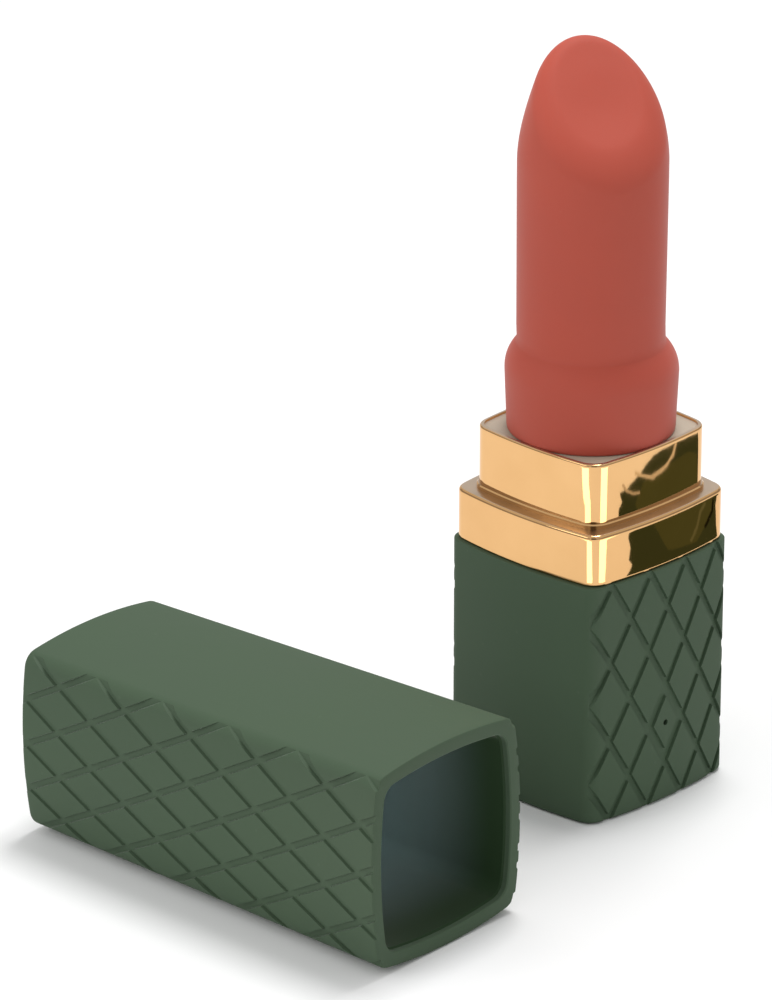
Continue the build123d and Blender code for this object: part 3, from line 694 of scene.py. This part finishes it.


# Painted light inside the cap: dark green near the mouth fading along X to the liner's pale tone
# further in, so the cap's depth reads lighter than its mouth.
tone_towards_mouth(smooth_liner, (0.018, 0.042, 0.015), MOUTH.x - 0.003, MOUTH.x - 0.026)
cap_lining.data.materials.append(smooth_liner)
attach(cap_lining, "cap")
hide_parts("cap_liner")
for piece in (cap_skin, cap_lining):
    piece.visible_glossy = False            # the gold doesn't mirror the cap

# ---- Table, lights and camera -------------------------------------------------------------------
# A pale table with a white surround and broad soft lamps above and to the left. Cards that only
# reflections pick up stand in for the studio: two white strips and a dark backdrop on the table,
# with dark drapes further off.


def card(name, corners, colour, strength, faces=None):
    """A glowing card that only reflections see, from its corners in millimetres. It is one face
    with its corners in order, unless `faces` lists several."""
    mesh = bpy.data.meshes.new(name)
    mesh.from_pydata((np.array(corners) / 1000).tolist(), [], faces or [list(range(len(corners)))])
    piece = bpy.data.objects.new(name, mesh)
    bpy.context.scene.collection.objects.link(piece)
    glow = bpy.data.materials.new(name)
    glow.use_nodes = True
    shader = glow.node_tree.nodes["Principled BSDF"]
    shader.inputs["Base Color"].default_value = (0, 0, 0, 1)
    shader.inputs["Roughness"].default_value = 1.0
    shader.inputs["Specular IOR Level"].default_value = 0.0
    shader.inputs["Emission Color"].default_value = (*colour, 1)
    shader.inputs["Emission Strength"].default_value = strength
    mesh.materials.append(glow)
    for ray in ("camera", "diffuse", "shadow", "transmission"):
        setattr(piece, "visible_" + ray, False)
    return piece


def fanned(centre, spots, level):
    """Points at one level from (distance, heading in degrees) pairs about a centre."""
    away, heading = np.array(spots, float).T
    turn = np.radians(heading)
    return np.column_stack([centre[0] + away * np.cos(turn), centre[1] + away * np.sin(turn),
                            np.full(len(away), level)])


WARM_WHITE = (1, 0.95, 0.85)
FRONT_CORNER = (12.6, -12.6)        # the base's corner between its -Y and +X faces, in plan
STRIP_LEVEL, STRIP_STRENGTH = 0.3, 3.4
left_strip = [(74, -86), (98, -92), (106, -108), (128, -120), (128, -76), (106, -73), (98, -62),
              (74, -50)]
right_strip = [(74, 30), (98, 31), (128, 34), (128, -3), (98, -6), (74, -8)]
card("left_strip", fanned(FRONT_CORNER, left_strip, STRIP_LEVEL), WARM_WHITE, STRIP_STRENGTH)
card("right_strip", fanned(FRONT_CORNER, right_strip, STRIP_LEVEL), WARM_WHITE, STRIP_STRENGTH)
backdrop = [(62, 31), (69, 35), (73.5, 37.6), (75.2, 42), (77.5, 41.5), (80.2, 44.5), (84, 45.5),
            (86, 48.5), (89.5, 51.3), (90, 54), (94.5, 55), (92.5, 60.6), (91.8, 66.4), (91, 75.2),
            (88.5, 82), (85.3, 88.1), (76.2, 100.5), (70, 107), (62.8, 112.7), (55, 108),
            (49.2, 97.1), (49.5, 90), (45, 84), (41.8, 81.5), (38, 73)]
card("dark_backdrop", [(x, y, 0.2) for x, y in backdrop], (0.045, 0.062, 0.030), 1.0)


FOLD_LEVEL = 0.5


def trail(name, line, width, colour, strength):
    """A thin card along a line just over the table, widened to both sides of it."""
    line = np.array(line, float)
    along = np.gradient(line, axis=0)
    aside = np.column_stack([-along[:, 1], along[:, 0]])
    aside *= width / 2 / np.linalg.norm(aside, axis=1, keepdims=True)
    edges = np.concatenate([line + aside, (line - aside)[::-1]])
    card(name, np.column_stack([edges, np.full(len(edges), FOLD_LEVEL)]), colour, strength)


trail("bright_fold", [(93.5, 67.5), (88.7, 71.3), (83.7, 75.5), (80.7, 80.9), (78.4, 86.3),
                      (77.4, 92.5), (77.8, 98)], 1.5, WARM_WHITE, 0.8)
trail("small_fold", [(95.3, 57.8), (91.4, 59.1), (88.4, 61.1), (85.2, 65.4)], 1.2, WARM_WHITE, 0.6)
trail("dark_fold", [(57, 70), (56.5, 76.6), (57.8, 82.2), (56.7, 87.1)], 1.4, (0.3, 0.35, 0.2), 0.45)
trail("dark_crease", [(52, 79), (51.1, 82), (50.4, 86.5), (52, 91)], 1.2, (0.02, 0.02, 0.01), 0.5)
olive = [(84, 60), (87, 70), (81, 84), (68, 100), (60, 104), (53, 96), (51, 86), (54, 72), (66, 60)]
card("olive_patch", [(x, y, 0.3) for x, y in olive], (0.075, 0.092, 0.038), 1.0)


DRAPE_AWAY, DRAPE_HEM = 480, 30
DRAPE_GREY = (0.36, 0.35, 0.36)


def drape(name, headings, top, colour):
    """A hanging in the round about the base, from one hem level up to its top."""
    hem = fanned((0, 0), [(DRAPE_AWAY, h) for h in headings], DRAPE_HEM)
    panels = [[i, i + 1, len(hem) + i + 1, len(hem) + i] for i in range(len(hem) - 1)]
    card(name, np.concatenate([hem, hem + [0, 0, top - DRAPE_HEM]]), colour, 1.0, panels)


drape("left_drape", range(-185, -59, 9), 290, DRAPE_GREY)
drape("front_drape", range(-60, -29, 6), 420, (0.05, 0.035, 0.02))
drape("right_drape", range(-30, 97, 9), 290, DRAPE_GREY)

TABLE_REACH, TABLE_LEVEL = 3, -0.0001       # just clear of the base's underside
table_mesh = bpy.data.meshes.new("table")
table_mesh.from_pydata([(x * TABLE_REACH, y * TABLE_REACH, TABLE_LEVEL)
                        for x, y in ((-1, -1), (1, -1), (1, 1), (-1, 1))], [], [(0, 1, 2, 3)])
table = bpy.data.objects.new("table", table_mesh)
bpy.context.scene.collection.objects.link(table)
table_top = bpy.data.materials.new("table_top")
table_top.use_nodes = True
paint = table_top.node_tree.nodes["Principled BSDF"]
paint.inputs["Base Color"].default_value = (0.9, 0.9, 0.9, 1)
paint.inputs["Roughness"].default_value = 0.9
table_mesh.materials.append(table_top)


def lamp(name, place, target, size, power):
    """A square area lamp aimed at a point."""
    light = bpy.data.lights.new(name, "AREA")
    light.shape, light.size, light.energy = "SQUARE", size, power
    piece = bpy.data.objects.new(name, light)
    piece.location = place
    piece.rotation_euler = (Vector(target) - Vector(place)).to_track_quat("-Z", "Y").to_euler()
    bpy.context.scene.collection.objects.link(piece)
    return piece


MIDDLE = Vector((0, -0.01, 0.045))
lamp("overhead", (-0.05, 0.15, 0.75), MIDDLE, 0.22, 3.2)
lamp("left_fill", (-0.20, -0.62, 0.38), MIDDLE, 0.45, 1.15)
surround = bpy.data.worlds.new("surround")
surround.use_nodes = True
glow = surround.node_tree.nodes["Background"]
glow.inputs["Color"].default_value = (1, 1, 1, 1)
glow.inputs["Strength"].default_value = 0.68
bpy.context.scene.world = surround

lens = bpy.data.cameras.new("lens")
lens.sensor_width = 36.0
lens.lens = 212.4
lens.clip_start, lens.clip_end = 0.05, 20.0
viewer = bpy.data.objects.new("viewer", lens)
CAMERA_TURN, CAMERA_RAISE, CAMERA_AWAY = math.radians(45.1), math.radians(22.5), 0.73125
AIM_HEIGHT = 0.05625
BASE_RIGHT, BASE_LOW = 0.2060, 0.1445       # how far the base stands right of the view's middle and
view_width = CAMERA_AWAY * lens.sensor_width / lens.lens    # below it, in widths of this view
back = Vector((math.sin(CAMERA_TURN) * math.cos(CAMERA_RAISE),
               -math.cos(CAMERA_TURN) * math.cos(CAMERA_RAISE), math.sin(CAMERA_RAISE)))
right = Vector((math.cos(CAMERA_TURN), math.sin(CAMERA_TURN), 0))
upward = back.cross(right)
viewer.location = (Vector((0, 0, AIM_HEIGHT)) + CAMERA_AWAY * back
                   - right * (BASE_RIGHT * view_width) - upward * (BASE_LOW * view_width))
viewer.rotation_euler = back.to_track_quat("Z", "Y").to_euler()
bpy.context.scene.collection.objects.link(viewer)
bpy.context.scene.camera = viewer
bpy.context.scene.view_settings.view_transform = "Standard"
